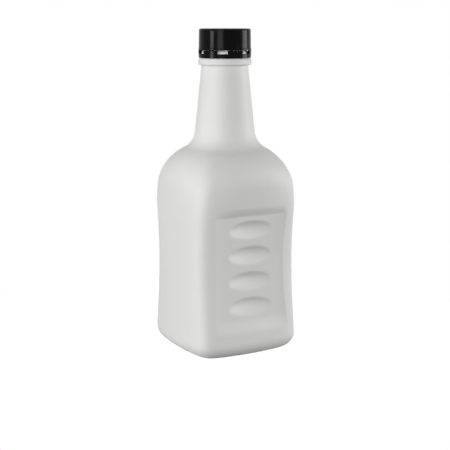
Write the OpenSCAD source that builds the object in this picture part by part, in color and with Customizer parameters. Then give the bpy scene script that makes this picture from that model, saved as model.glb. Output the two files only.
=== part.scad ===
// Square plastic chemical bottle: bowed square body with waisted grip sides, long tapered neck,
// screw cap and tamper band.
// Frame: origin at the centre of the standing ring, +Z up the neck, grip panels on +X and -X. Millimetres.

/* [Body] */
// width across opposite faces where the body is fullest
body_width = 73; // [60:0.5:90]
// height where the shoulder begins to close in
shoulder_z = 100.5; // [95:0.5:110]
// sharpness of the vertical corners, 2 being round
corner_power = 7.1; // [4:0.1:12]
// outward bow of the faces, 0 being flat
face_bow = 0.18; // [0.05:0.01:0.4]
// outward bow of the foot outline
foot_bow = 0.25; // [0.05:0.01:0.5]
// rounding between the faces and the base
foot_radius = 9.5; // [6:0.5:12]
// height of the hollow pushed up under the base
push_up = 2; // [1:0.5:4]
// thickness of the blown wall
wall = 1.2; // [1:0.1:2]

/* [Waist] */
// how far each grip face is drawn in
grip_waist = 5; // [1:0.5:7]
// how far each label face is drawn in
label_waist = 1; // [0:0.5:3]
// height of the narrowest place
waist_z = 55.5; // [50:0.5:60]
// distance above and below over which the waist fades out
waist_reach = 70; // [55:1:80]

/* [Grip panel] */
// height of the middle of the panel
panel_z = 53.5; // [48:0.5:58]
// length of the flat floor
panel_length = 61; // [50:0.5:64]
// width of the panel
panel_width = 46.8; // [40:0.2:50]
// depth of the floor at mid width, in the waist
panel_depth = 1.8; // [0.8:0.1:2.5]
// depth that the floor gains away from the waist
panel_end_depth = 1.2; // [0:0.1:2]
// height of the steep top wall
panel_top_wall = 7; // [3:0.2:8]
// share of its depth that the top wall loses as it rounds over
panel_arch = 0.45; // [0:0.05:0.8]
// height of the soft bottom ramp
panel_ramp = 8.5; // [4:0.5:11]
// width of each curled-up side of the floor
panel_side = 4.2; // [2:0.2:8]
// rise of a curled-up side over that width
panel_side_rise = 0.45; // [0:0.05:1]
// finger hollows in a panel
hollow_count = 4; // [2:1:4]
// height of the middle of the row of finger hollows
hollow_z = 53.2; // [50:0.1:56]
// distance between finger hollows
hollow_pitch = 15.4; // [13:0.2:16]
// width of a finger hollow
hollow_width = 29; // [20:0.5:34]
// height of a finger hollow
hollow_height = 10.8; // [8:0.2:12]
// depth of a finger hollow below the floor
hollow_depth = 2; // [0.5:0.1:2.5]
// share by which a finger hollow deepens towards its upper edge
hollow_lean = 0.35; // [0:0.05:0.6]

/* [Shoulder and neck] */
// radius of the rounded shoulder
shoulder_radius = 24; // [18:0.5:28]
// radius of the hollow at the neck root
root_radius = 12; // [8:0.5:16]
// height of the underside of the carrying bead
bead_z = 171; // [165:0.5:185]
// neck diameter just under the bead
neck_top_d = 27.7; // [26.5:0.1:29]
// radius gained by the neck for each mm downwards
neck_taper = 0.102; // [0.05:0.002:0.13]
// diameter of the carrying bead
bead_d = 31.9; // [31.5:0.1:34]
// height of the bead and its sloping collar
bead_h = 4.2; // [3.6:0.1:6]

/* [Finish] */
// bore of the mouth
bore_d = 21.2; // [18:0.1:22]
// outside of the finish without its thread
finish_d = 25.2; // [24.5:0.1:25.6]
// height of the finish above the collar
finish_h = 14.2; // [13.5:0.1:18]

/* [Cap and band] */
// outside diameter of the cap skirt at the bottom
cap_d = 31; // [30.8:0.1:33]
// draft of the skirt on the radius
cap_draft = 0.14; // [0:0.02:0.4]
// thickness of the cap top
cap_top = 1.5; // [1.2:0.1:2.5]
// rounding of the cap top edge
cap_edge = 1.4; // [0.6:0.1:1.8]
// bore of the cap inside its thread
cap_bore_d = 28; // [27.6:0.1:28.4]
// width of the projecting lip
lip_out = 0.22; // [0.1:0.02:0.5]
// height of the lip
lip_h = 0.9; // [0.6:0.1:1.5]
// thickness of the sealing disc
liner_h = 1.3; // [0.8:0.1:2]
// height of the tamper band
band_h = 4.2; // [3.6:0.1:4.6]
// slit between band and cap
slit = 0.4; // [0.2:0.05:0.8]
// windows round the band
window_count = 6; // [3:1:8]
// angle that one window takes
window_angle = 24; // [12:1:30]
// height of a window
window_h = 2.3; // [1:0.1:2.5]
// turn of the first window from +X
window_turn = 25; // [0:1:60]

/* [Hidden] */
$fn = 96;

body_r = body_width / 2;
collar_z = bead_z + bead_h;
mouth_z = collar_z + finish_h;
band_top_z = collar_z + band_h;
lip_z = band_top_z + slit;
liner_z = mouth_z + liner_h;
cap_z = liner_z + cap_top;

// the round neck: radius at a height, and the tilt of its side
function neck_r(z) = neck_top_d / 2 + neck_taper * (bead_z - z);
tilt = atan(neck_taper);
tilt_out = [cos(tilt), sin(tilt)];
tilt_up = [-sin(tilt), cos(tilt)];

// shoulder arc, tangent to the body side, and root arc, tangent to it and to the neck
arc_c = [body_r - shoulder_radius, shoulder_z];
root_from = [neck_r(shoulder_z), shoulder_z] + root_radius * tilt_out;
root_gap = root_from - arc_c;
root_along = root_gap * tilt_up;
root_reach = pow(shoulder_radius + root_radius, 2) - root_gap * root_gap;
root_c = root_from + (sqrt(pow(root_along, 2) + root_reach) - root_along) * tilt_up;
arc_end = arc_c + (root_c - arc_c) * shoulder_radius / (shoulder_radius + root_radius);
root_end = root_c - root_radius * tilt_out;
// heights between which the square outline turns round
round_start = 15.5;
round_over = 9;
square_end_z = shoulder_z - round_start;
join_z = root_end[1] + round_over;

function smooth(t) = let (c = min(1, max(0, t))) c * c * (3 - 2 * c);
function waist(z) = abs(z - waist_z) < waist_reach ? (1 + cos(180 * (z - waist_z) / waist_reach)) / 2 : 0;
function side_r(z) =
    z <= shoulder_z ? body_r :
    z <= arc_end[1] ? arc_c[0] + sqrt(pow(shoulder_radius, 2) - pow(z - arc_c[1], 2)) :
    z <= root_end[1] ? root_c[0] - sqrt(pow(root_radius, 2) - pow(z - root_c[1], 2)) :
    neck_r(z);

// share of the round section in the outline: little in the body, a bit more at the foot, all at the neck
function foot_share(z, t) = max(0, (foot_radius - z) / (foot_radius - t));
function roundness(z, t) =
    face_bow + (1 - face_bow) * smooth((z - square_end_z) / (join_z - square_end_z))
    + (foot_bow - face_bow) * pow(foot_share(z, t), 2);
function foot_inset(z, t) = (foot_radius - t) * (1 - sqrt(max(0, 1 - pow(foot_share(z, t), 2))));

// half widths of a section, set in by t for the inside
function half_x(z, t) = side_r(z) - grip_waist * waist(z) - t;
function half_y(z, t) = side_r(z) - label_waist * waist(z) - t;

// outline radius in direction a: blend of a squared and a round distance measure
function square_m(c, s) = pow(pow(c, corner_power) + pow(s, corner_power), 1 / corner_power);
function outline(a, z, t) =
    let (c = abs(cos(a)) / half_x(z, t), s = abs(sin(a)) / half_y(z, t), b = roundness(z, t))
    1 / ((1 - b) * square_m(c, s) + b * norm([c, s]));
function outline_normal(a, z, t) =
    let (
        c = cos(a) / half_x(z, t), s = sin(a) / half_y(z, t), b = roundness(z, t),
        m = square_m(abs(c), abs(s)), k = (1 - b) * pow(m, 1 - corner_power),
        g = [
            (k * sign(c) * pow(abs(c), corner_power - 1) + b * c / norm([c, s])) / half_x(z, t),
            (k * sign(s) * pow(abs(s), corner_power - 1) + b * s / norm([c, s])) / half_y(z, t)
        ]
    )
    g / norm(g);

// recess of the grip panel and its finger hollows, measured along X
// the floor is flat across the bowed face, so it runs out where the bow and the curled side reach its depth
panel_low = panel_z - panel_length / 2;
panel_high = panel_z + panel_length / 2;
floor_edge = panel_width / 2 - panel_side;
hollow_first = hollow_z - hollow_pitch * (hollow_count - 1) / 2;
hollow_power = 2.5;
function under_top(z) = pow(min(1, max(0, (panel_high + panel_top_wall - z) / panel_top_wall)), 2);
function over_ramp(z) = smooth((z - panel_low + panel_ramp) / panel_ramp);
function floor_depth(z) =
    (panel_depth + panel_end_depth * (1 - waist(z))) * (1 - panel_arch * (1 - under_top(z)));
function side_curl(y, z, t) =
    panel_side_rise * pow(max(0, y * body_r / half_y(z, t) - floor_edge) / panel_side, 2);
function panel(x, y, z, t) =
    under_top(z) * over_ramp(z) * max(0, floor_depth(z) - (half_x(z, t) - x) - side_curl(y, z, t));
function hollow(y, z, i) =
    let (across = 2 * y / hollow_width, up = 2 * (z - hollow_first - i * hollow_pitch) / hollow_height)
    max(0, 1 - pow(across, hollow_power) - pow(up, 2)) * (1 + hollow_lean * up);
function hollows(y, z) = max([for (i = [0 : hollow_count - 1]) hollow(y, z, i)]);
function recess(x, y, z, t) = panel(x, y, z, t) + hollow_depth * hollows(y, z);

// one point of the shell: outline, foot rounding along its normal, then the recess
foot_pull = 0.37;
function shell_point(a, z, t) =
    let (
        p = outline(a, z, t) * [cos(a), sin(a)],
        q = p - foot_inset(z, t) * ((1 - foot_pull) * outline_normal(a, z, t) + foot_pull * p / body_r)
    )
    [q[0] - sign(q[0]) * recess(abs(q[0]), abs(q[1]), z, t), q[1], z];

// columns: distances along the grip and label faces, corners between, kept as angles over the shoulder
floor_past = 2.4;
grip_edge = panel_width / 2 + floor_past;
hollow_margin = 0.4;
hollow_edge = hollow_width / 2 + hollow_margin;
hollow_steps = 5;
side_steps = 3;
label_steps = 4;
corner_steps = 4;
grip_cols = concat(
    [for (i = [0 : hollow_steps]) i * hollow_edge / hollow_steps],
    [for (i = [0 : side_steps]) floor_edge + (grip_edge - floor_edge) * i / side_steps]
);
label_cols = [for (i = [label_steps : -1 : 0]) i * grip_edge / label_steps];
quarter_cols = len(grip_cols) + len(label_cols) + corner_steps - 2;
cols = 4 * quarter_cols;
function grip_angle(i, z) =
    let (low_z = min(z, shoulder_z)) atan(grip_cols[i] * half_y(low_z, 0) / (body_r * half_x(low_z, 0)));
function label_angle(i, z) = 90 - atan(label_cols[i] / half_y(min(z, shoulder_z), 0));
function quarter_angle(j, z) =
    let (g = len(grip_cols) - 1, from = grip_angle(g, z), to = label_angle(0, z))
    j <= g ? grip_angle(j, z) :
    j >= g + corner_steps ? label_angle(j - g - corner_steps, z) :
    from + (to - from) * (j - g) / corner_steps;
function col_angle(i, z) =
    let (quarter = floor(i / quarter_cols), j = i % quarter_cols)
    90 * quarter + (quarter % 2 == 0 ? quarter_angle(j, z) : 90 - quarter_angle(quarter_cols - j, z));

// rows: foot rounding, lower side, panel, upper side, shoulder and root
hollow_rows = 8;
row_h = hollow_pitch / hollow_rows;
panel_rows = [
    for (i = [-hollow_rows : hollow_rows * hollow_count]) let (z = hollow_first + i * row_h)
    if (z > foot_radius + 3 && z < panel_high + panel_top_wall + row_h) z
];
rise_z = panel_rows[len(panel_rows) - 1];
upper_rows = [for (i = [1 : 4]) rise_z + (shoulder_z - rise_z) * i / 4];
arc_rows = [for (i = [1 : 8]) shoulder_z + (arc_end[1] - shoulder_z) * sin(90 * i / 8)];
root_rows = [for (i = [1 : 5]) arc_end[1] + (root_end[1] - arc_end[1]) * i / 5];
side_rows = concat([foot_radius + 1], panel_rows, upper_rows, arc_rows, root_rows, [root_end[1] + 4]);
function foot_rows(t, n) = [for (i = [0 : n - 1]) t + (foot_radius - t) * (1 - cos(84 * i / (n - 1)))];
outer_rows = concat(foot_rows(0, 6), side_rows);
inner_rows = concat(foot_rows(wall, 4), [for (i = [1 : 2 : len(side_rows) - 1]) side_rows[i]]);

// rings of points: hollow under the base, side, and a lap that runs up inside the neck wall
stand_share = 0.84;
dome_shares = [0.3, 0.6, stand_share];
lap = 0.8;
lap_gap = 0.1;
lap_wall = 0.55 * wall;
function dome_z(s) = push_up * (1 - pow(s / stand_share, 2));
function ring(z, t, skip) = [for (i = [0 : skip : cols - 1]) shell_point(col_angle(i, z), z, t)];
function dome_ring(s, t, skip) = [for (p = ring(t, t, skip)) [s * p[0], s * p[1], t + dome_z(s)]];
function lap_ring(z, r, skip) =
    [for (i = [0 : skip : cols - 1]) let (a = col_angle(i, z)) [r * cos(a), r * sin(a), z]];
outer_rings = concat(
    [for (s = dome_shares) dome_ring(s, 0, 1)],
    [for (z = outer_rows) ring(z, 0, 1)],
    [for (z = [join_z, join_z + lap]) lap_ring(z, neck_r(join_z + lap) - lap_gap, 1)]
);
inner_rings = concat(
    [for (s = dome_shares) dome_ring(s, wall, 2)],
    [for (z = inner_rows) ring(z, wall, 2)],
    [for (z = [join_z, join_z + lap]) lap_ring(z, neck_r(join_z) - lap_wall, 2)]
);

// point numbers and faces, all seen clockwise from outside
function flat_list(lists) = [for (l = lists) each l];
outer_n = len(outer_rings);
inner_n = len(inner_rings);
inner_cols = cols / 2;
inner_base = outer_n * cols;
outer_hub = inner_base + inner_n * inner_cols;
inner_hub = outer_hub + 1;
function o(k, i) = k * cols + i % cols;
function n(k, i) = inner_base + k * inner_cols + i % inner_cols;
shell_points = concat(
    flat_list(outer_rings), flat_list(inner_rings), [[0, 0, push_up], [0, 0, push_up + wall]]
);
outer_faces = [
    for (k = [0 : outer_n - 2], i = [0 : cols - 1])
    each [[o(k, i), o(k + 1, i), o(k + 1, i + 1)], [o(k, i), o(k + 1, i + 1), o(k, i + 1)]]
];
inner_faces = [
    for (k = [0 : inner_n - 2], i = [0 : inner_cols - 1])
    each [[n(k, i), n(k + 1, i + 1), n(k + 1, i)], [n(k, i), n(k, i + 1), n(k + 1, i + 1)]]
];
rim_faces = [
    for (i = [0 : inner_cols - 1]) let (a = outer_n - 1, b = inner_n - 1) each [
        [o(a, 2 * i), n(b, i), o(a, 2 * i + 1)],
        [o(a, 2 * i + 1), n(b, i), n(b, i + 1)],
        [o(a, 2 * i + 1), n(b, i + 1), o(a, 2 * i + 2)]
    ]
];
hub_faces = concat(
    [for (i = [0 : cols - 1]) [o(0, i), o(0, i + 1), outer_hub]],
    [for (i = [0 : inner_cols - 1]) [n(0, i + 1), n(0, i), inner_hub]]
);

// neck, bead, collar, seat and locking bead of the band, and finish as one turned profile
bead_r = bead_d / 2;
bead_round = 0.7;
bead_side = 0.55 * bead_h;
collar_r = bead_r - 0.95;
finish_r = finish_d / 2;
seat_r = finish_r + 0.7;
catch_h = 1.1;
lock_r = seat_r + 0.65;
lock_z = collar_z + catch_h + 0.4;
lock_rise = 0.4;
lock_fall = 1.1;
bore_r = bore_d / 2;
mouth_edge = 0.5;
throat_r = neck_top_d / 2 - 1.5 * wall;
neck_profile = [
    [neck_r(join_z) - wall, join_z],
    [neck_r(join_z), join_z],
    [neck_top_d / 2, bead_z],
    [bead_r - bead_round, bead_z],
    [bead_r, bead_z + bead_round],
    [bead_r, bead_z + bead_side],
    [collar_r, collar_z],
    [seat_r, collar_z],
    [seat_r, lock_z],
    [lock_r, lock_z + lock_rise],
    [lock_r, lock_z + 2 * lock_rise],
    [finish_r, lock_z + 2 * lock_rise + lock_fall],
    [finish_r, mouth_z - mouth_edge],
    [finish_r - mouth_edge, mouth_z],
    [bore_r, mouth_z],
    [bore_r, collar_z],
    [throat_r, bead_z]
];

module bottle() {
    color([0.93, 0.93, 0.92]) union() {
        polyhedron(shell_points, concat(outer_faces, inner_faces, rim_faces, hub_faces), convexity = 6);
        rotate_extrude() polygon(neck_profile);
    }
}

// band: outside drawn in a little at its foot, inner catch under the locking bead
band_r = cap_d / 2 + lip_out;
band_foot_r = band_r - 0.15;
band_bore_r = cap_bore_d / 2 + 0.25;
catch_r = seat_r + 0.3;
catch_top = 0.5;
band_profile = [
    [catch_r, collar_z], [band_foot_r, collar_z], [band_r, band_top_z], [band_bore_r, band_top_z],
    [band_bore_r, collar_z + catch_h + catch_top], [catch_r, collar_z + catch_h]
];
band_wall = band_r - band_bore_r;

module tamper_band() {
    color([0.06, 0.06, 0.06]) difference() {
        rotate_extrude() polygon(band_profile);
        for (i = [0 : window_count - 1])
            rotate(window_turn + i * 360 / window_count - window_angle / 2)
                rotate_extrude(angle = window_angle)
                    translate([band_bore_r - band_wall, band_top_z - window_h])
                        square([3 * band_wall, 2 * window_h]);
    }
}

// cap: the edge rounding is a quarter disc joined to the skirt and the top
cap_r = cap_d / 2;
cap_top_r = cap_r - cap_draft;
cap_bore_r = cap_bore_d / 2;
liner_gap = 0.3;

module screw_cap() {
    color([0.06, 0.06, 0.06]) rotate_extrude() union() {
        polygon([
            [cap_bore_r, lip_z], [cap_r, lip_z], [cap_top_r, cap_z - cap_edge], [cap_top_r - cap_edge, cap_z],
            [0, cap_z], [0, liner_z], [cap_bore_r, liner_z]
        ]);
        translate([cap_bore_r, lip_z]) square([band_r - cap_bore_r, lip_h]);
        translate([cap_top_r - cap_edge, cap_z - cap_edge]) intersection() {
            circle(cap_edge);
            square(cap_edge);
        }
    }
}

module cap_liner() {
    color([0.86, 0.86, 0.84]) translate([0, 0, mouth_z]) cylinder(r = cap_bore_r - liner_gap, h = liner_h);
}

bottle();
tamper_band();
screw_cap();
cap_liner();
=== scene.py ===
import math

import bpy
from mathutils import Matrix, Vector


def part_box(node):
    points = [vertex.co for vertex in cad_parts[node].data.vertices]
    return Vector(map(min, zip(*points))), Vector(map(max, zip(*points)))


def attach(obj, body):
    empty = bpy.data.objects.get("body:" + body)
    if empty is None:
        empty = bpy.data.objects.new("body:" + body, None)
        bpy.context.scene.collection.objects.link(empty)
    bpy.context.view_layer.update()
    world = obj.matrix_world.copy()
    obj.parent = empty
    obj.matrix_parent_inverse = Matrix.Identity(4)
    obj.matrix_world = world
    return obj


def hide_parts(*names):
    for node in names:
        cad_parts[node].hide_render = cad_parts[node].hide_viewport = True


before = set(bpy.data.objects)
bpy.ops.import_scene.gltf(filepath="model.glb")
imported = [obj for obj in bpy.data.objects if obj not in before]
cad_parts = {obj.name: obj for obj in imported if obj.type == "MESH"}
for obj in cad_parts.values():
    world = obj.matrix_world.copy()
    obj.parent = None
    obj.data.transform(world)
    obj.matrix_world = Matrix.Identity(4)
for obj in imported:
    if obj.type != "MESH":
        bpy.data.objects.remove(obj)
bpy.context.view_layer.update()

# The bottle is one piece of white high-density polyethylene. A round tube of melt is shut in a two-part
# mould and blown out against it, so the square body, its waist and its grip panels grow from a round neck.
# It is made the same way here: a round preform is turned, and a node tree blows it out into the mould.
mm = 0.001
body_r = 36.5 * mm
shoulder_z = 100.5 * mm
shoulder_radius = 24 * mm
root_radius = 12 * mm
foot_radius = 9.5 * mm
foot_r = body_r - foot_radius
push_up = 2 * mm
stand_share = 0.84
centre_share = 0.02
wall = 1.2 * mm

neck_top_r = 13.85 * mm
neck_taper = 0.102
bead_z = 171 * mm
bead_r = 15.95 * mm
bead_side_z = bead_z + 2.3 * mm
bead_soft = 1.1 * mm
neck_end_z = bead_z - 2 * mm
collar_r = 15 * mm
collar_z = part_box("tamper_band")[0].z
seat_r = 13.3 * mm
lock_r = 13.95 * mm
lock_z = collar_z + 1.5 * mm
lock_low_z = lock_z + 0.4 * mm
lock_high_z = lock_z + 2 * mm
finish_r = 12.6 * mm
finish_z = lock_z + 3 * mm
finish_soft = 0.6 * mm
bore_r = 10.6 * mm
throat_r = neck_top_r - 1.5 * wall
mouth_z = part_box("bottle")[1].z


def run(start, end, steps):
    """Evenly spaced points of a straight piece of a profile, without its first point."""
    return [Vector(start).lerp(Vector(end), i / steps) for i in range(1, steps + 1)]


def bend(centre, radius, start, end, steps):
    """Points of an arc of a profile between two angles in degrees, without its first point."""
    angles = [math.radians(start + (end - start) * i / steps) for i in range(1, steps + 1)]
    return [centre + radius * Vector((math.cos(a), math.sin(a))) for a in angles]


def softened(profile, cut, steps=4):
    """The profile with each corner turned into a small curve that starts a cut away from it."""
    points = [Vector(point) for point in profile]
    shares = [i / steps for i in range(steps + 1)]
    most = 0.45
    soft = [points[0]]
    for last, corner, following in zip(points, points[1:], points[2:]):
        start = corner.lerp(last, min(cut / (last - corner).length, most))
        end = corner.lerp(following, min(cut / (following - corner).length, most))
        soft += [start * (1 - s) ** 2 + corner * 2 * s * (1 - s) + end * s ** 2 for s in shares]
    return soft + [points[-1]]


def spread(start, end, count):
    """Evenly spaced values from a start up to, but without, an end."""
    return [start + (end - start) * i / count for i in range(count)]


def turned(name, profile, angles):
    """A new object, turned about Z from a profile of (radius, height) points, with closed ends."""
    cols = len(angles)
    top = (len(profile) - 1) * cols
    points = [(r * math.cos(a), r * math.sin(a), z) for r, z in profile for a in angles]
    pairs = [(i, (i + 1) % cols) for i in range(cols)]
    faces = []
    for low in range(0, top, cols):
        high = low + cols
        faces += [(low + i, low + j, high + j, high + i) for i, j in pairs]
    faces.append(tuple(reversed(range(cols))))
    faces.append(tuple(range(top, top + cols)))
    mesh = bpy.data.meshes.new(name)
    mesh.from_pydata(points, [], faces)
    mesh.shade_smooth()
    piece = bpy.data.objects.new(name, mesh)
    bpy.context.scene.collection.objects.link(piece)
    return piece


# The shoulder arc is tangent to the side, and the root arc to it and to the sloping neck.
tilt = math.atan(neck_taper)
tilt_out = Vector((math.cos(tilt), math.sin(tilt)))
tilt_up = Vector((-math.sin(tilt), math.cos(tilt)))
arc_centre = Vector((body_r - shoulder_radius, shoulder_z))
root_from = Vector((neck_top_r + neck_taper * (bead_z - shoulder_z), shoulder_z)) + root_radius * tilt_out
gap = root_from - arc_centre
along = gap.dot(tilt_up)
reach = (shoulder_radius + root_radius) ** 2 - gap.length_squared
root_centre = root_from + (math.sqrt(along ** 2 + reach) - along) * tilt_up
turn = math.degrees(math.atan2(*reversed(root_centre - arc_centre)))
lean = math.degrees(tilt)
root_end = root_centre - root_radius * tilt_out
foot_centre = Vector((foot_r, foot_radius))


def dome(share, depth):
    """A point of the pushed-up base at a share of the foot's radius."""
    return Vector((share * foot_r, depth + push_up * max(0, 1 - (share / stand_share) ** 2)))


dome_steps = 14
outside = [dome(centre_share, 0)]
outside += [dome(stand_share * i / dome_steps, 0) for i in range(1, dome_steps + 1)]
outside += run(outside[-1], (foot_r, 0), steps=3)
outside += bend(foot_centre, foot_radius, -90, 0, steps=18)
outside += run(outside[-1], (body_r, shoulder_z), steps=126)
outside += bend(arc_centre, shoulder_radius, 0, turn, steps=26)
outside += bend(root_centre, root_radius, 180 + turn, 180 + lean, steps=14)
outside += run(outside[-1], (neck_top_r + neck_taper * (bead_z - neck_end_z), neck_end_z), steps=8)
bead = [outside[-1], (neck_top_r, bead_z), (bead_r, bead_z), (bead_r, bead_side_z), (collar_r, collar_z)]
bead += [(seat_r, collar_z)]
finish = [bead[-1], (seat_r, lock_z), (lock_r, lock_low_z), (lock_r, lock_high_z), (finish_r, finish_z)]
finish += [(finish_r, mouth_z), (bore_r, mouth_z), (bore_r, collar_z), (throat_r, bead_z)]
outside += softened(bead, bead_soft, steps=6)[1:]
outside += softened(finish, finish_soft)[1:]

inside_dome_steps = 7
inside = run(outside[-1], root_end - wall * tilt_out, steps=8)
inside += bend(root_centre, root_radius + wall, 180 + lean, 180 + turn, steps=8)
inside += bend(arc_centre, shoulder_radius - wall, turn, 0, steps=10)
inside += run(inside[-1], (body_r - wall, foot_radius), steps=24)
inside += bend(foot_centre, foot_radius - wall, 0, -90, steps=8)
inside += run(inside[-1], dome(stand_share, wall), steps=2)
inside += [dome(stand_share * i / inside_dome_steps, wall) for i in range(inside_dome_steps - 1, 0, -1)]
inside += [dome(centre_share, wall)]

# Columns crowd where the grip panel ends and round the corners. Slopes are sideways over outwards.
hollow_slope = 0.44
edge_slope = 0.64
corner_slope = 0.7
corner_end = math.radians(57)
grip_slopes = spread(0, hollow_slope, count=20) + spread(hollow_slope, edge_slope, count=8)
grip_slopes += spread(edge_slope, corner_slope, count=14)
quarter = [math.atan(slope) for slope in grip_slopes]
quarter += spread(math.atan(corner_slope), corner_end, count=20)
quarter += spread(corner_end, math.pi / 2, count=10)
half = quarter + [math.pi / 2] + [math.pi - a for a in reversed(quarter[1:])]
columns = half + [math.pi + a for a in half]

bottle = turned("bottle_shell", outside + inside, columns)
depths = [0.0] * len(outside) * len(columns) + [wall] * len(inside) * len(columns)
bottle.data.attributes.new("depth", "FLOAT", "POINT").data.foreach_set("value", depths)


def linear(colour):
    """A colour written as sRGB hex, as the linear RGBA that shaders take."""
    channels = [int(colour[i:i + 2], 16) / 255 for i in (1, 3, 5)]
    return [c / 12.92 if c <= 0.04045 else ((c + 0.055) / 1.055) ** 2.4 for c in channels] + [1]


def add(tree, kind, feeds=(), **settings):
    """Adds a node with its settings. Its inputs take values, nodes or sockets, in order or by name."""
    node = tree.nodes.new(kind)
    for name, value in settings.items():
        setattr(node, name, value)
    for key, feed in feeds.items() if isinstance(feeds, dict) else enumerate(feeds):
        if isinstance(feed, bpy.types.Node):
            feed = feed.outputs[0]
        if isinstance(feed, bpy.types.NodeSocket):
            tree.links.new(feed, node.inputs[key])
        elif feed is not None:
            node.inputs[key].default_value = feed
    return node


# Blow-moulded polyethylene: a satin, waxy white. Melt that freezes against a sandblasted mould keeps its
# fine grain, and the wall sinks very slightly as it cools, so broad highlights waver instead of mirroring.
# The real grain is about a tenth of a millimetre, and is drawn coarser so that it can show.
hdpe = bpy.data.materials.new("blow_moulded_white_polyethylene")
hdpe.use_nodes = True
shader = hdpe.node_tree
shader.nodes.clear()
grain_size = 0.7 * mm
sink_size = 16 * mm
place = add(shader, "ShaderNodeTexCoord").outputs["Object"]
grain = add(shader, "ShaderNodeTexNoise", {"Vector": place, "Scale": 1 / grain_size, "Detail": 2.0})
sink = add(shader, "ShaderNodeTexNoise", {"Vector": place, "Scale": 1 / sink_size, "Detail": 1.0})
wavered = add(shader, "ShaderNodeBump", {"Strength": 0.25, "Distance": 0.1 * mm, "Height": sink})
grained = add(shader, "ShaderNodeBump", {
    "Strength": 0.12, "Distance": 0.05 * mm, "Height": grain, "Normal": wavered})
tint = add(shader, "ShaderNodeValToRGB", [sink])
tint.color_ramp.elements[0].color = linear("#EDEDEC")
tint.color_ramp.elements[1].color = linear("#F0F0EF")
dull = add(shader, "ShaderNodeMapRange", {"Value": grain, "To Min": 0.54, "To Max": 0.62})
surface = add(shader, "ShaderNodeBsdfPrincipled", {
    "Base Color": tint, "Roughness": dull, "Normal": grained, "IOR": 1.53, "Specular IOR Level": 0.4})
add(shader, "ShaderNodeOutputMaterial", [surface])

# The mould's sizes: heights are from the floor, and the panel's depths from the middle of the bowed face.
square_end_z = shoulder_z - 15.5 * mm
round_z = root_end.y + 9 * mm
hollow_count = 4
hollow_pitch = 15.4 * mm
hollow_middle_z = 53.2 * mm
mould_sizes = {
    "Body radius": body_r,
    "Corner power": 7.1,
    "Face bow": 0.18,
    "Foot bow gain": 0.07,
    "Foot radius": foot_radius,
    "Foot pull": 0.37,
    "Square end": square_end_z,
    "Round from": round_z,
    "Waist height": 55.5 * mm,
    "Waist reach": 70 * mm,
    "Grip waist": 5 * mm,
    "Label waist": 1.08 * mm,
    "Panel low": 23 * mm,
    "Panel high": 84.8 * mm,
    "Panel top wall": 4.8 * mm,
    "Panel top power": 1.2,
    "Panel ramp": 8.5 * mm,
    "Panel depth": 1.8 * mm,
    "Panel end depth": 1.25 * mm,
    "Panel half width": 23.4 * mm,
    "Panel top arch": 0.3,
    "Panel side": 8 * mm,
    "Panel side rise": 0.5 * mm,
    "Panel edge softness": 0.15 * mm,
    "Hollow first": hollow_middle_z - (hollow_count - 1) / 2 * hollow_pitch,
    "Hollow pitch": hollow_pitch,
    "Hollow count": float(hollow_count),
    "Hollow half width": 14.5 * mm,
    "Hollow half height": 5.4 * mm,
    "Hollow side power": 2.0,
    "Hollow depth": 2.3 * mm,
    "Hollow lean": 0.35,
    "Hollow edge softness": 0.1,
    "Material": hdpe,
}


def new_tree(name, sizes):
    """An empty geometry tree with a named input for each size, and a material input."""
    tree = bpy.data.node_groups.new(name, "GeometryNodeTree")
    tree.interface.new_socket("Geometry", in_out="INPUT", socket_type="NodeSocketGeometry")
    tree.interface.new_socket("Geometry", in_out="OUTPUT", socket_type="NodeSocketGeometry")
    for size in sizes:
        kind = "NodeSocketMaterial" if size == "Material" else "NodeSocketFloat"
        tree.interface.new_socket(size, in_out="INPUT", socket_type=kind)
    return tree


def settled(piece, tree, sizes):
    """Runs a geometry tree on a piece with these sizes, and leaves the result as its plain mesh."""
    modifier = piece.modifiers.new(tree.name, "NODES")
    modifier.node_group = tree
    for socket in tree.interface.items_tree:
        if socket.name in sizes:
            modifier[socket.identifier] = sizes[socket.name]
    evaluated = piece.evaluated_get(bpy.context.evaluated_depsgraph_get())
    mesh = bpy.data.meshes.new_from_object(evaluated)
    piece.modifiers.clear()
    piece.data = mesh


mould = new_tree("blow_mould", mould_sizes)
size = add(mould, "NodeGroupInput").outputs
point = add(mould, "ShaderNodeSeparateXYZ", [add(mould, "GeometryNodeInputPosition")]).outputs
z = point["Z"]
depth = add(mould, "GeometryNodeInputNamedAttribute", ["depth"], data_type="FLOAT")

# Direction and distance from the axis.
level = add(mould, "ShaderNodeCombineXYZ", [point["X"], point["Y"]])
radius = add(mould, "ShaderNodeVectorMath", [level], operation="LENGTH").outputs["Value"]
way = add(mould, "ShaderNodeVectorMath", [level], operation="NORMALIZE")
way_side = add(mould, "ShaderNodeVectorMath", [way], operation="SIGN")
way_size = add(mould, "ShaderNodeVectorMath", [way], operation="ABSOLUTE")
cos_way, sin_way, _ = add(mould, "ShaderNodeSeparateXYZ", [way_size]).outputs

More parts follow.
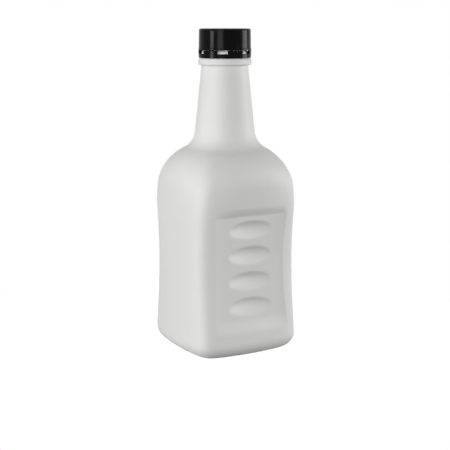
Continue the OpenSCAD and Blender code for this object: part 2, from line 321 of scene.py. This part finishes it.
# The outline is the unit curve of a measure that mixes a square one, m, with a round one.
power = size["Corner power"]
cos_power = add(mould, "ShaderNodeMath", [cos_way, power], operation="POWER")
sin_power = add(mould, "ShaderNodeMath", [sin_way, power], operation="POWER")
power_sum = add(mould, "ShaderNodeMath", [cos_power, sin_power], operation="ADD")
root = add(mould, "ShaderNodeMath", [1.0, power], operation="DIVIDE")
m = add(mould, "ShaderNodeMath", [power_sum, root], operation="POWER")
foot_share = add(mould, "ShaderNodeMapRange", [z, size["Foot radius"], depth, 0.0, 1.0])
foot_square = add(mould, "ShaderNodeMath", [foot_share, foot_share], operation="MULTIPLY")
rounding = add(mould, "ShaderNodeMapRange", [
    z, size["Square end"], size["Round from"], size["Face bow"], 1.0], interpolation_type="SMOOTHSTEP")
bow = add(mould, "ShaderNodeMath", [foot_square, size["Foot bow gain"], rounding], operation="MULTIPLY_ADD")
not_m = add(mould, "ShaderNodeMath", [1.0, m], operation="SUBTRACT")
measure = add(mould, "ShaderNodeMath", [bow, not_m, m], operation="MULTIPLY_ADD")

# Half widths of the section, drawn in round the waist.
waist_low = add(mould, "ShaderNodeMath", [size["Waist height"], size["Waist reach"]], operation="SUBTRACT")
waist_high = add(mould, "ShaderNodeMath", [size["Waist height"], size["Waist reach"]], operation="ADD")
waist_turn = add(mould, "ShaderNodeMapRange", [z, waist_low, waist_high, -math.pi, math.pi])
waist_wave = add(mould, "ShaderNodeMath", [waist_turn], operation="COSINE")
waist = add(mould, "ShaderNodeMath", [waist_wave, 0.5, 0.5], operation="MULTIPLY_ADD")
in_foot = add(mould, "ShaderNodeMath", [z, size["Foot radius"]], operation="LESS_THAN")
skin_r = add(mould, "ShaderNodeMath", [size["Body radius"], depth], operation="SUBTRACT")
short = add(mould, "ShaderNodeMath", [skin_r, radius], operation="SUBTRACT")
foot_short = add(mould, "ShaderNodeMath", [short, in_foot], operation="MULTIPLY")
full_r = add(mould, "ShaderNodeMath", [radius, foot_short], operation="ADD")
grip_in = add(mould, "ShaderNodeMath", [size["Grip waist"], waist], operation="MULTIPLY")
label_in = add(mould, "ShaderNodeMath", [size["Label waist"], waist], operation="MULTIPLY")
half_x = add(mould, "ShaderNodeMath", [full_r, grip_in], operation="SUBTRACT")
half_y = add(mould, "ShaderNodeMath", [full_r, label_in], operation="SUBTRACT")
halves = add(mould, "ShaderNodeCombineXYZ", [half_x, half_y, 1.0])
stretched = add(mould, "ShaderNodeVectorMath", [way, halves], operation="MULTIPLY")
measures = add(mould, "ShaderNodeCombineXYZ", [measure, measure, 1.0])
outline = add(mould, "ShaderNodeVectorMath", [stretched, measures], operation="DIVIDE")

# The outline's normal, along which the foot rounds in, with a pull towards the axis.
not_bow = add(mould, "ShaderNodeMath", [1.0, bow], operation="SUBTRACT")
less_power = add(mould, "ShaderNodeMath", [power, 1.0], operation="SUBTRACT")
m_power = add(mould, "ShaderNodeMath", [m, less_power], operation="POWER")
square_part = add(mould, "ShaderNodeMath", [not_bow, m_power], operation="DIVIDE")
cos_less = add(mould, "ShaderNodeMath", [cos_way, less_power], operation="POWER")
sin_less = add(mould, "ShaderNodeMath", [sin_way, less_power], operation="POWER")
squared = add(mould, "ShaderNodeCombineXYZ", [cos_less, sin_less])
squared = add(mould, "ShaderNodeVectorMath", {0: squared, "Scale": square_part}, operation="SCALE")
rounded = add(mould, "ShaderNodeVectorMath", {0: way_size, "Scale": bow}, operation="SCALE")
slope = add(mould, "ShaderNodeVectorMath", [squared, rounded], operation="ADD")
slope = add(mould, "ShaderNodeVectorMath", [slope, halves], operation="DIVIDE")
slope = add(mould, "ShaderNodeVectorMath", [slope, way_side], operation="MULTIPLY")
normal = add(mould, "ShaderNodeVectorMath", [slope], operation="NORMALIZE")
most_inset = add(mould, "ShaderNodeMath", [size["Foot radius"], depth], operation="SUBTRACT")
inset = add(mould, "ShaderNodeMath", [foot_short, most_inset], operation="MINIMUM")
not_pull = add(mould, "ShaderNodeMath", [1.0, size["Foot pull"]], operation="SUBTRACT")
normal_in = add(mould, "ShaderNodeMath", [inset, not_pull], operation="MULTIPLY")
pull = add(mould, "ShaderNodeMath", [size["Foot pull"], size["Body radius"]], operation="DIVIDE")
pull_in = add(mould, "ShaderNodeMath", [inset, pull], operation="MULTIPLY")
keep = add(mould, "ShaderNodeMath", [1.0, pull_in], operation="SUBTRACT")
pulled = add(mould, "ShaderNodeVectorMath", {0: outline, "Scale": keep}, operation="SCALE")
drawn = add(mould, "ShaderNodeVectorMath", {0: normal, "Scale": normal_in}, operation="SCALE")
footed = add(mould, "ShaderNodeVectorMath", [pulled, drawn], operation="SUBTRACT")

# Under the base the outline shrinks towards the middle.
ring_r = add(mould, "ShaderNodeMath", [size["Body radius"], size["Foot radius"]], operation="SUBTRACT")
ring_share = add(mould, "ShaderNodeMath", [radius, ring_r], operation="DIVIDE")
under = add(mould, "ShaderNodeMath", [1.0, ring_share], operation="SUBTRACT", use_clamp=True)
under = add(mould, "ShaderNodeMath", [under, in_foot], operation="MULTIPLY")
shrink = add(mould, "ShaderNodeMath", [1.0, under], operation="SUBTRACT")
blown = add(mould, "ShaderNodeVectorMath", {0: footed, "Scale": shrink}, operation="SCALE")
blown_size = add(mould, "ShaderNodeVectorMath", [blown], operation="ABSOLUTE")
blown_x, blown_y, _ = add(mould, "ShaderNodeSeparateXYZ", [blown_size]).outputs

# The grip panel is a flat floor in the bowed face, deeper away from the waist. Its top wall starts
# steeply and rounds over, its sides curl up to a crisp edge, and a ramp runs out below.
bulge = add(mould, "ShaderNodeMath", [half_x, blown_x], operation="SUBTRACT")
not_waist = add(mould, "ShaderNodeMath", [1.0, waist], operation="SUBTRACT")
floor_depth = add(mould, "ShaderNodeMath", [
    not_waist, size["Panel end depth"], size["Panel depth"]], operation="MULTIPLY_ADD")
wall_top = add(mould, "ShaderNodeMath", [size["Panel high"], size["Panel top wall"]], operation="ADD")
under_top = add(mould, "ShaderNodeMapRange", [z, wall_top, size["Panel high"], 0.0, 1.0])
under_top = add(mould, "ShaderNodeMath", [under_top, size["Panel top power"]], operation="POWER")
arch = add(mould, "ShaderNodeMapRange", [under_top, 0.0, 1.0, size["Panel top arch"], 0.0])
arch = add(mould, "ShaderNodeMath", [arch, floor_depth], operation="MULTIPLY")
floor_in = add(mould, "ShaderNodeMath", [floor_depth, arch], operation="SUBTRACT")
floor_in = add(mould, "ShaderNodeMath", [floor_in, bulge], operation="SUBTRACT")
sideways = add(mould, "ShaderNodeMath", [blown_y, half_y], operation="DIVIDE")
sideways = add(mould, "ShaderNodeMath", [sideways, size["Body radius"]], operation="MULTIPLY")
half_width = size["Panel half width"]
side_from = add(mould, "ShaderNodeMath", [half_width, size["Panel side"]], operation="SUBTRACT")
beside = add(mould, "ShaderNodeMapRange", [sideways, side_from, half_width, 0.0, 1.0], clamp=False)
beside = add(mould, "ShaderNodeMath", [beside, 0.0], operation="MAXIMUM")
beside = add(mould, "ShaderNodeMath", [beside, beside], operation="MULTIPLY")
beside = add(mould, "ShaderNodeMath", [beside, size["Panel side rise"]], operation="MULTIPLY")
floor_in = add(mould, "ShaderNodeMath", [floor_in, beside], operation="SUBTRACT")
panel_in = add(mould, "ShaderNodeMath", [
    floor_in, 0.0, size["Panel edge softness"]], operation="SMOOTH_MAX")
ramp_low = add(mould, "ShaderNodeMath", [size["Panel low"], size["Panel ramp"]], operation="SUBTRACT")
ramp = add(mould, "ShaderNodeMapRange", [
    z, ramp_low, size["Panel low"], 0.0, 1.0], interpolation_type="SMOOTHSTEP")
panel_in = add(mould, "ShaderNodeMath", [panel_in, ramp], operation="MULTIPLY")
panel_in = add(mould, "ShaderNodeMath", [panel_in, under_top], operation="MULTIPLY")

# Finger hollows repeat up the panel. Each is a shallow oval bowl that leans, deepest above its middle.
climb = add(mould, "ShaderNodeMath", [z, size["Hollow first"]], operation="SUBTRACT")
climb = add(mould, "ShaderNodeMath", [climb, size["Hollow pitch"]], operation="DIVIDE")
nearest = add(mould, "ShaderNodeMath", [climb], operation="ROUND")
last = add(mould, "ShaderNodeMath", [size["Hollow count"], 1.0], operation="SUBTRACT")
nearest = add(mould, "ShaderNodeClamp", [nearest, 0.0, last])
off = add(mould, "ShaderNodeMath", [climb, nearest], operation="SUBTRACT")
off = add(mould, "ShaderNodeMath", [off, size["Hollow pitch"]], operation="MULTIPLY")
up = add(mould, "ShaderNodeMath", [off, size["Hollow half height"]], operation="DIVIDE")
up_square = add(mould, "ShaderNodeMath", [up, up], operation="MULTIPLY")
across = add(mould, "ShaderNodeMath", [blown_y, size["Hollow half width"]], operation="DIVIDE")
across = add(mould, "ShaderNodeMath", [across, size["Hollow side power"]], operation="POWER")
bowl = add(mould, "ShaderNodeMath", [1.0, across], operation="SUBTRACT")
bowl = add(mould, "ShaderNodeMath", [bowl, up_square], operation="SUBTRACT")
bowl = add(mould, "ShaderNodeMath", [bowl, 0.0, size["Hollow edge softness"]], operation="SMOOTH_MAX")
tipped = add(mould, "ShaderNodeMath", [up, size["Hollow lean"], 1.0], operation="MULTIPLY_ADD")
bowl = add(mould, "ShaderNodeMath", [bowl, tipped], operation="MULTIPLY")
recess = add(mould, "ShaderNodeMath", [bowl, size["Hollow depth"], panel_in], operation="MULTIPLY_ADD")
recess = add(mould, "ShaderNodeCombineXYZ", [recess])
recess = add(mould, "ShaderNodeVectorMath", [recess, way_side], operation="MULTIPLY")
moulded = add(mould, "ShaderNodeVectorMath", [blown, recess], operation="SUBTRACT")
height = add(mould, "ShaderNodeCombineXYZ", [0.0, 0.0, z])
moulded = add(mould, "ShaderNodeVectorMath", [moulded, height], operation="ADD")
shell = add(mould, "GeometryNodeSetPosition", {"Geometry": size["Geometry"], "Position": moulded})
shell = add(mould, "GeometryNodeRealizeInstances", [shell])
shell = add(mould, "GeometryNodeSetMaterial", {"Geometry": shell, "Material": size["Material"]})
add(mould, "NodeGroupOutput", [shell])
settled(bottle, mould, mould_sizes)
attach(bottle, "bottle")
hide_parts("bottle")

# The neck's thread is blown with the bottle, in the same white polyethylene: two turns of a rounded ridge
# on the finish, right-handed, at 8 turns to the inch. It runs in and out of the wall at its ends.
thread_pitch = 3.175 * mm
thread_sizes = {
    "Radius": 12.75 * mm,
    "Low": collar_z + 5.6 * mm,
    "Pitch": thread_pitch,
    "Turns": 2.0,
    "Ridge": 0.95 * mm,
    "Run in": 0.08,
    "End share": 0.1,
    "Material": hdpe,
}


def swept(tree, size, line, sides):
    """Ends a tree in a round ridge along a line, which thins and runs into the wall at both ends."""
    ridge = add(tree, "GeometryNodeCurvePrimitiveCircle", {"Resolution": sides, "Radius": size["Ridge"]})
    share = add(tree, "GeometryNodeSplineParameter").outputs["Factor"]
    left = add(tree, "ShaderNodeMath", [1.0, share], operation="SUBTRACT")
    near_end = add(tree, "ShaderNodeMath", [share, left], operation="MINIMUM")
    full = add(tree, "ShaderNodeMapRange", [
        near_end, 0.0, size["Run in"], size["End share"], 1.0], interpolation_type="SMOOTHSTEP")
    wound = add(tree, "GeometryNodeCurveToMesh", {
        "Curve": line, "Profile Curve": ridge, "Scale": full, "Fill Caps": True})
    wound = add(tree, "GeometryNodeSetShadeSmooth", [wound])
    wound = add(tree, "GeometryNodeRealizeInstances", [wound])
    wound = add(tree, "GeometryNodeSetMaterial", {"Geometry": wound, "Material": size["Material"]})
    add(tree, "NodeGroupOutput", [wound])


def grown(name, tree, sizes):
    """A new piece that a geometry tree makes from nothing but its sizes."""
    piece = bpy.data.objects.new(name, bpy.data.meshes.new(name))
    bpy.context.scene.collection.objects.link(piece)
    settled(piece, tree, sizes)
    return piece


thread = new_tree("screw_thread", thread_sizes)
size = add(thread, "NodeGroupInput").outputs
climb = add(thread, "ShaderNodeMath", [size["Pitch"], size["Turns"]], operation="MULTIPLY")
helix = add(thread, "GeometryNodeCurveSpiral", {
    "Resolution": 96, "Rotations": size["Turns"], "Start Radius": size["Radius"],
    "End Radius": size["Radius"], "Height": climb, "Reverse": True})
low = add(thread, "ShaderNodeCombineXYZ", [0.0, 0.0, size["Low"]])
helix = add(thread, "GeometryNodeSetPosition", {"Geometry": helix, "Offset": low})
swept(thread, size, helix, sides=16)
neck_thread = grown("neck_thread", thread, thread_sizes)
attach(neck_thread, "bottle")

# The pinch-off line is the welded scar under the base, where the mould nipped the end of the tube of melt.
# It is a low ridge of the same polyethylene that follows the pushed-up base along the parting plane.
pinch_sizes = {
    "Half length": 18 * mm,
    "Push up": push_up,
    "Dome reach": stand_share * foot_r,
    "Ridge": 0.45 * mm,
    "Run in": 0.12,
    "End share": 0.1,
    "Material": hdpe,
}
pinch = new_tree("pinch_off_line", pinch_sizes)
size = add(pinch, "NodeGroupInput").outputs
back = add(pinch, "ShaderNodeMath", [size["Half length"], -1.0], operation="MULTIPLY")
start = add(pinch, "ShaderNodeCombineXYZ", [0.0, back, 0.0])
end = add(pinch, "ShaderNodeCombineXYZ", [0.0, size["Half length"], 0.0])
line = add(pinch, "GeometryNodeCurvePrimitiveLine", {"Start": start, "End": end})
line = add(pinch, "GeometryNodeResampleCurve", {"Curve": line, "Count": 60})
y = add(pinch, "ShaderNodeSeparateXYZ", [add(pinch, "GeometryNodeInputPosition")]).outputs["Y"]
out = add(pinch, "ShaderNodeMath", [y, size["Dome reach"]], operation="DIVIDE")
out_square = add(pinch, "ShaderNodeMath", [out, out], operation="MULTIPLY")
dome_share = add(pinch, "ShaderNodeMath", [1.0, out_square], operation="SUBTRACT")
dome_z = add(pinch, "ShaderNodeMath", [dome_share, size["Push up"]], operation="MULTIPLY")
dome_lift = add(pinch, "ShaderNodeCombineXYZ", [0.0, 0.0, dome_z])
line = add(pinch, "GeometryNodeSetPosition", {"Geometry": line, "Offset": dome_lift})
swept(pinch, size, line, sides=12)
pinch_off = grown("pinch_off_line", pinch, pinch_sizes)
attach(pinch_off, "bottle")

# The tamper band is the lower ring of the moulded closure, left on the neck when its bridges break. It is
# black polypropylene with an inner catch and open windows, and is repeated here from one window's sector.
band_top_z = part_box("tamper_band")[1].z
band_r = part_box("tamper_band")[1].x
band_draft = 0.15 * mm
band_foot_r = band_r - band_draft
band_bore_r = 14.25 * mm
catch_r = 13.6 * mm
catch_z = collar_z + 1.1 * mm
catch_end_z = collar_z + 1.6 * mm
window_count = 6
window_angle = math.radians(24)
window_turn = math.radians(25)
sill_z = band_top_z - 1.8 * mm
sill_share = (sill_z - collar_z) / (band_top_z - collar_z)
sill_r = band_foot_r + band_draft * sill_share
low_section = [(sill_r, sill_z), (band_bore_r, sill_z), (band_bore_r, catch_end_z)]
low_section += [(catch_r, catch_z), (catch_r, collar_z), (band_foot_r, collar_z)]
land_section = [(band_r, band_top_z), (band_bore_r, band_top_z)]
sector = 2 * math.pi / window_count
window_steps = 10
land_steps = 15
window_start = window_turn - window_angle / 2
land_start = window_start + window_angle
sector_end = window_start + sector
sector_angles = spread(window_start, land_start, window_steps)
sector_angles += spread(land_start, sector_end, land_steps) + [sector_end]

# In each column, points 0 to 5 go round the low section from its outer sill; 6 and 7 are the land's top.
points = []
for angle in sector_angles:
    for r, z in low_section + land_section:
        points.append((r * math.cos(angle), r * math.sin(angle), z))
across = len(low_section) + len(land_section)
faces = []
for column in range(len(sector_angles) - 1):
    here = column * across
    there = here + across
    in_window = column < window_steps
    loop = [(0, 1)] if in_window else [(0, 6), (6, 7), (7, 1)]
    loop += [(1, 2), (2, 3), (3, 4), (4, 5), (5, 0)]
    faces += [(here + a, there + a, there + b, here + b) for a, b in loop]
window_end = window_steps * across
last_column = (len(sector_angles) - 1) * across
faces.append((window_end, window_end + 6, window_end + 7, window_end + 1))
faces.append((last_column, last_column + 1, last_column + 7, last_column + 6))
band_mesh = bpy.data.meshes.new("tamper_band_ring")
band_mesh.from_pydata(points, [], faces)
band = bpy.data.objects.new("tamper_band_ring", band_mesh)
bpy.context.scene.collection.objects.link(band)

# Moulded polypropylene, coloured through with carbon black: deep and even, with the clear gloss of a
# polished mould. Handling leaves faint, wide smears that change only how sharp the reflections are.
polypropylene = bpy.data.materials.new("moulded_black_polypropylene")
polypropylene.use_nodes = True
shader = polypropylene.node_tree
shader.nodes.clear()
smear_size = 5 * mm
place = add(shader, "ShaderNodeTexCoord").outputs["Object"]
smear = add(shader, "ShaderNodeTexNoise", {"Vector": place, "Scale": 1 / smear_size, "Detail": 3.0})
gloss = add(shader, "ShaderNodeMapRange", {"Value": smear, "To Min": 0.14, "To Max": 0.20})
tint = add(shader, "ShaderNodeValToRGB", [smear])
tint.color_ramp.elements[0].color = linear("#040405")
tint.color_ramp.elements[1].color = linear("#070708")
wavered = add(shader, "ShaderNodeBump", {"Strength": 0.2, "Distance": 0.02 * mm, "Height": smear})
surface = add(shader, "ShaderNodeBsdfPrincipled", {
    "Base Color": tint, "Roughness": gloss, "Normal": wavered, "IOR": 1.49, "Specular IOR Level": 0.06})
add(shader, "ShaderNodeOutputMaterial", [surface])

ring_sizes = {
    "Count": float(window_count),
    "Merge distance": 0.01 * mm,
    "Bridge places": 8.0,
    "Land reach": 2.5,
    "Bridge radius": 15 * mm,
    "Bridge height": 0.34 * mm,
    "Bridge width": 1 * mm,
    "Torn share": 0.7,
    "Window turn": window_turn,
    "Band top": band_top_z,
    "Material": polypropylene,
}
ring = new_tree("band_of_sectors", ring_sizes)
size = add(ring, "NodeGroupInput").outputs
spots = add(ring, "GeometryNodePoints", [size["Count"]])
step = add(ring, "ShaderNodeMath", [2 * math.pi, size["Count"]], operation="DIVIDE")
spin = add(ring, "ShaderNodeMath", [add(ring, "GeometryNodeInputIndex"), step], operation="MULTIPLY")
spin = add(ring, "ShaderNodeCombineXYZ", [0.0, 0.0, spin])
sectors = add(ring, "GeometryNodeInstanceOnPoints", {
    "Points": spots, "Instance": size["Geometry"], "Rotation": spin})
sectors = add(ring, "GeometryNodeRealizeInstances", [sectors])
joined = add(ring, "GeometryNodeMergeByDistance", {"Geometry": sectors, "Distance": size["Merge distance"]})

# Torn bridges stand on the lands. Each sector has evenly spaced places, counted from the window's middle,
# and only those within a reach of the land's middle hold a bridge.
places = add(ring, "ShaderNodeMath", [size["Count"], size["Bridge places"]], operation="MULTIPLY")
stub_spots = add(ring, "GeometryNodePoints", [places])
index = add(ring, "GeometryNodeInputIndex")
stub_step = add(ring, "ShaderNodeMath", [2 * math.pi, places], operation="DIVIDE")
stub_turn = add(ring, "ShaderNodeMath", [index, stub_step, size["Window turn"]], operation="MULTIPLY_ADD")
stub_out = add(ring, "ShaderNodeCombineXYZ", [size["Bridge radius"], 0.0, size["Band top"]])
stub_place = add(ring, "ShaderNodeVectorRotate", {
    "Vector": stub_out, "Angle": stub_turn}, rotation_type="Z_AXIS")
stub_spots = add(ring, "GeometryNodeSetPosition", {"Geometry": stub_spots, "Position": stub_place})
in_sector = add(ring, "ShaderNodeMath", [index, size["Bridge places"]], operation="MODULO")
land_middle = add(ring, "ShaderNodeMath", [size["Bridge places"], 2.0], operation="DIVIDE")
on_land = add(ring, "ShaderNodeMath", [in_sector, land_middle, size["Land reach"]], operation="COMPARE")
half_stub = add(ring, "ShaderNodeMath", [size["Bridge width"], 2.0], operation="DIVIDE")
torn = add(ring, "ShaderNodeMath", [half_stub, size["Torn share"]], operation="MULTIPLY")
stub = add(ring, "GeometryNodeMeshCone", {
    "Vertices": 12, "Radius Top": torn, "Radius Bottom": half_stub, "Depth": size["Bridge height"]})
stubs = add(ring, "GeometryNodeInstanceOnPoints", {
    "Points": stub_spots, "Selection": on_land, "Instance": stub})
whole = add(ring, "GeometryNodeJoinGeometry", [joined])
ring.links.new(stubs.outputs["Instances"], whole.inputs["Geometry"])
whole = add(ring, "GeometryNodeRealizeInstances", [whole])
whole = add(ring, "GeometryNodeSetMaterial", {"Geometry": whole, "Material": size["Material"]})
add(ring, "NodeGroupOutput", [whole])
settled(band, ring, ring_sizes)
band.data.shade_smooth()
edges = band.modifiers.new("moulded_edges", "BEVEL")
edges.width = 0.12 * mm
edges.segments = 3
edges.limit_method = "ANGLE"
edges.angle_limit = math.radians(35)
edges.harden_normals = True
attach(band, "bottle")
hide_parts("tamper_band")

# The cap is turned over the neck: a smooth black skirt with a lip where the band broke away, a flat top
# and a gate mark in its middle. It is injection moulded from the same polypropylene as its band.
lip_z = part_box("screw_cap")[0].z
cap_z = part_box("screw_cap")[1].z
lip_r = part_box("screw_cap")[1].x
lip_h = 0.9 * mm
cap_r = 15.5 * mm
cap_draft = 0.14 * mm
cap_top_r = cap_r - cap_draft
cap_edge = 1.4 * mm
cap_bore_r = 14 * mm
ceiling_z = cap_z - 1.5 * mm
lip_soft = 0.15 * mm
hub_r = 0.3 * mm
gate_r = 1.2 * mm
gate_z = cap_z - 0.25 * mm
gate_soft = 0.1 * mm
cap_under = [(hub_r, ceiling_z), (cap_bore_r, ceiling_z), (cap_bore_r, lip_z), (lip_r, lip_z)]
cap_under += [(lip_r, lip_z + lip_h), (cap_r, lip_z + lip_h), (cap_top_r, cap_z - 2 * cap_edge)]
cap_over = [cap_under[-1], (cap_top_r, cap_z), (cap_top_r - 4 * cap_edge, cap_z)]
cap_gate = [cap_over[-1], (gate_r, cap_z), (gate_r, gate_z), (hub_r, gate_z)]
cap_profile = softened(cap_under, lip_soft)
cap_profile += softened(cap_over, cap_edge, steps=10)[1:]
cap_profile += softened(cap_gate, gate_soft)[1:]
round_columns = spread(0, 2 * math.pi, count=192)
cap = turned("screw_cap_shell", cap_profile, round_columns)
cap.data.materials.append(polypropylene)
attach(cap, "cap")
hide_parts("screw_cap")

# The cap's thread is moulded with it from the same polypropylene. It is the neck's ridge turned inwards:
# right-handed, half a pitch above the neck's and clear of it, with its outer half sunk in the skirt.
cap_thread = grown("cap_thread", thread, {
    "Radius": 13.85 * mm,
    "Low": thread_sizes["Low"] + 0.5 * thread_pitch,
    "Pitch": thread_pitch,
    "Turns": 1.5,
    "Ridge": 0.9 * mm,
    "Run in": 0.08,
    "End share": 0.1,
    "Material": polypropylene,
})
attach(cap_thread, "cap")

# The sealing disc is punched from white foam sheet and pressed into the cap, where it closes the mouth.
# It is plain and hidden, so the solid stays and gets the foam's own finish: matt, with small open cells
# that are pits to the eye, with rims a shade darker.
foam = bpy.data.materials.new("punched_white_foam")
foam.use_nodes = True
shader = foam.node_tree
shader.nodes.clear()
cell_size = 0.4 * mm
place = add(shader, "ShaderNodeTexCoord").outputs["Object"]
cells = add(shader, "ShaderNodeTexVoronoi", {"Vector": place, "Scale": 1 / cell_size})
pitted = add(shader, "ShaderNodeBump", {"Strength": 0.4, "Distance": 0.1 * mm, "Height": cells})
tint = add(shader, "ShaderNodeValToRGB", [cells])
tint.color_ramp.elements[0].color = linear("#E8E8E5")
tint.color_ramp.elements[1].color = linear("#DDDDD9")
surface = add(shader, "ShaderNodeBsdfPrincipled", {
    "Base Color": tint, "Roughness": 0.85, "Normal": pitted, "IOR": 1.5})
add(shader, "ShaderNodeOutputMaterial", [surface])
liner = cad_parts["cap_liner"]
liner.data.materials.clear()
liner.data.materials.append(foam)

# The studio: white paper under and behind the bottle, with soft lamps left, right and in front, and a weak
# one behind. Paper and room are white to the eye and in gloss, and light the bottle only as grey paper.
paper = bpy.data.materials.new("white_paper")
paper.use_nodes = True
shader = paper.node_tree
shader.nodes.clear()
glow_from = 60 * mm
glow_full = 200 * mm


def seen_rays(tree):
    """A node that gives 1 for what the eye sees, straight, in gloss or through a clear body."""
    rays = add(tree, "ShaderNodeLightPath").outputs
    seen = add(tree, "ShaderNodeMath", [rays["Is Camera Ray"], rays["Is Glossy Ray"]], operation="MAXIMUM")
    return add(tree, "ShaderNodeMath", [seen, rays["Is Transmission Ray"]], operation="MAXIMUM")


matt = add(shader, "ShaderNodeBsdfDiffuse", {"Color": linear("#787878")})
veil = add(shader, "ShaderNodeBsdfDiffuse", {"Color": linear("#FFFFFF")})
glow = add(shader, "ShaderNodeEmission", {"Color": linear("#FFFFFF"), "Strength": 0.85})
near = add(shader, "ShaderNodeAddShader", [veil, glow])
far = add(shader, "ShaderNodeEmission", {"Color": linear("#FFFFFF"), "Strength": 1.0})
place = add(shader, "ShaderNodeTexCoord").outputs["Object"]
distance = add(shader, "ShaderNodeVectorMath", [place], operation="LENGTH").outputs["Value"]
fade = add(shader, "ShaderNodeMapRange", {"Value": distance, "From Min": glow_from, "From Max": glow_full})
bright = add(shader, "ShaderNodeMixShader", [fade, near, far])
both = add(shader, "ShaderNodeMixShader", [seen_rays(shader), matt, bright])
add(shader, "ShaderNodeOutputMaterial", [both])
floor_mesh = bpy.data.meshes.new("floor")
floor_z = -0.05 * mm
floor_half = 3
floor_corners = [(-1, -1), (1, -1), (1, 1), (-1, 1)]
floor_points = [(x * floor_half, y * floor_half, floor_z) for x, y in floor_corners]
floor_mesh.from_pydata(floor_points, [], [(0, 1, 2, 3)])
floor = bpy.data.objects.new("floor", floor_mesh)
bpy.context.scene.collection.objects.link(floor)
floor.data.materials.append(paper)

world = bpy.data.worlds.new("white_room")
bpy.context.scene.world = world
world.use_nodes = True
shader = world.node_tree
shader.nodes.clear()
dim = add(shader, "ShaderNodeBackground", {"Color": linear("#FFFFFF"), "Strength": 0.0})
white = add(shader, "ShaderNodeBackground", {"Color": linear("#FFFFFF"), "Strength": 1.0})
both = add(shader, "ShaderNodeMixShader", [seen_rays(shader), dim, white])
add(shader, "ShaderNodeOutputWorld", [both])

# Each lamp: degrees round from the camera, degrees up, metres away, metres wide and tall, watts.
# The one behind is kept out of the gloss, where it would eat into the cap's outline.
view_azimuth = math.radians(60.42)
aim = Vector((0, 0, 75 * mm))
lamps = {
    "left_softbox": (-58, 3.5, 1.2, 0.3, 0.28, 4.8),
    "front_softbox": (-20, 12, 1.2, 0.5, 0.5, 5.2),
    "right_softbox": (98, 7.5, 1.2, 0.6, 0.45, 9.0),
    "right_fill": (60, 22, 1.2, 0.35, 0.5, 1.0),
    "high_left_softbox": (-90, 35, 1.2, 0.35, 0.5, 1.6),
    "high_front_softbox": (-30, 35, 1.2, 0.35, 0.5, 1.2),
    "back_fill": (-178, 8, 1.2, 0.5, 0.35, 3.0),
}
for name, (turn, rise, distance, width, tall, watts) in lamps.items():
    lamp = bpy.data.lights.new(name, "AREA")
    lamp.shape = "RECTANGLE"
    lamp.size = width
    lamp.size_y = tall
    lamp.energy = watts
    holder = bpy.data.objects.new(name, lamp)
    bpy.context.scene.collection.objects.link(holder)
    holder.visible_glossy = name != "back_fill"
    heading = view_azimuth + math.radians(turn)
    level = math.cos(math.radians(rise))
    stand = Vector((math.sin(heading) * level, -math.cos(heading) * level, math.sin(math.radians(rise))))
    holder.location = aim + distance * stand
    holder.rotation_euler = stand.to_track_quat("Z", "Y").to_euler()

# The camera stands where a fit to the bottle's outline in the photograph puts it.
camera = bpy.data.cameras.new("camera")
camera.sensor_width = 36
camera.lens = 87.24
viewer = bpy.data.objects.new("camera", camera)
bpy.context.scene.collection.objects.link(viewer)
viewer.location = (568.08 * mm, -322.34 * mm, 201.05 * mm)
view_elevation = math.radians(11)
viewer.rotation_euler = (math.pi / 2 - view_elevation, 0, view_azimuth)
bpy.context.scene.camera = viewer
bpy.context.scene.view_settings.view_transform = "Standard"
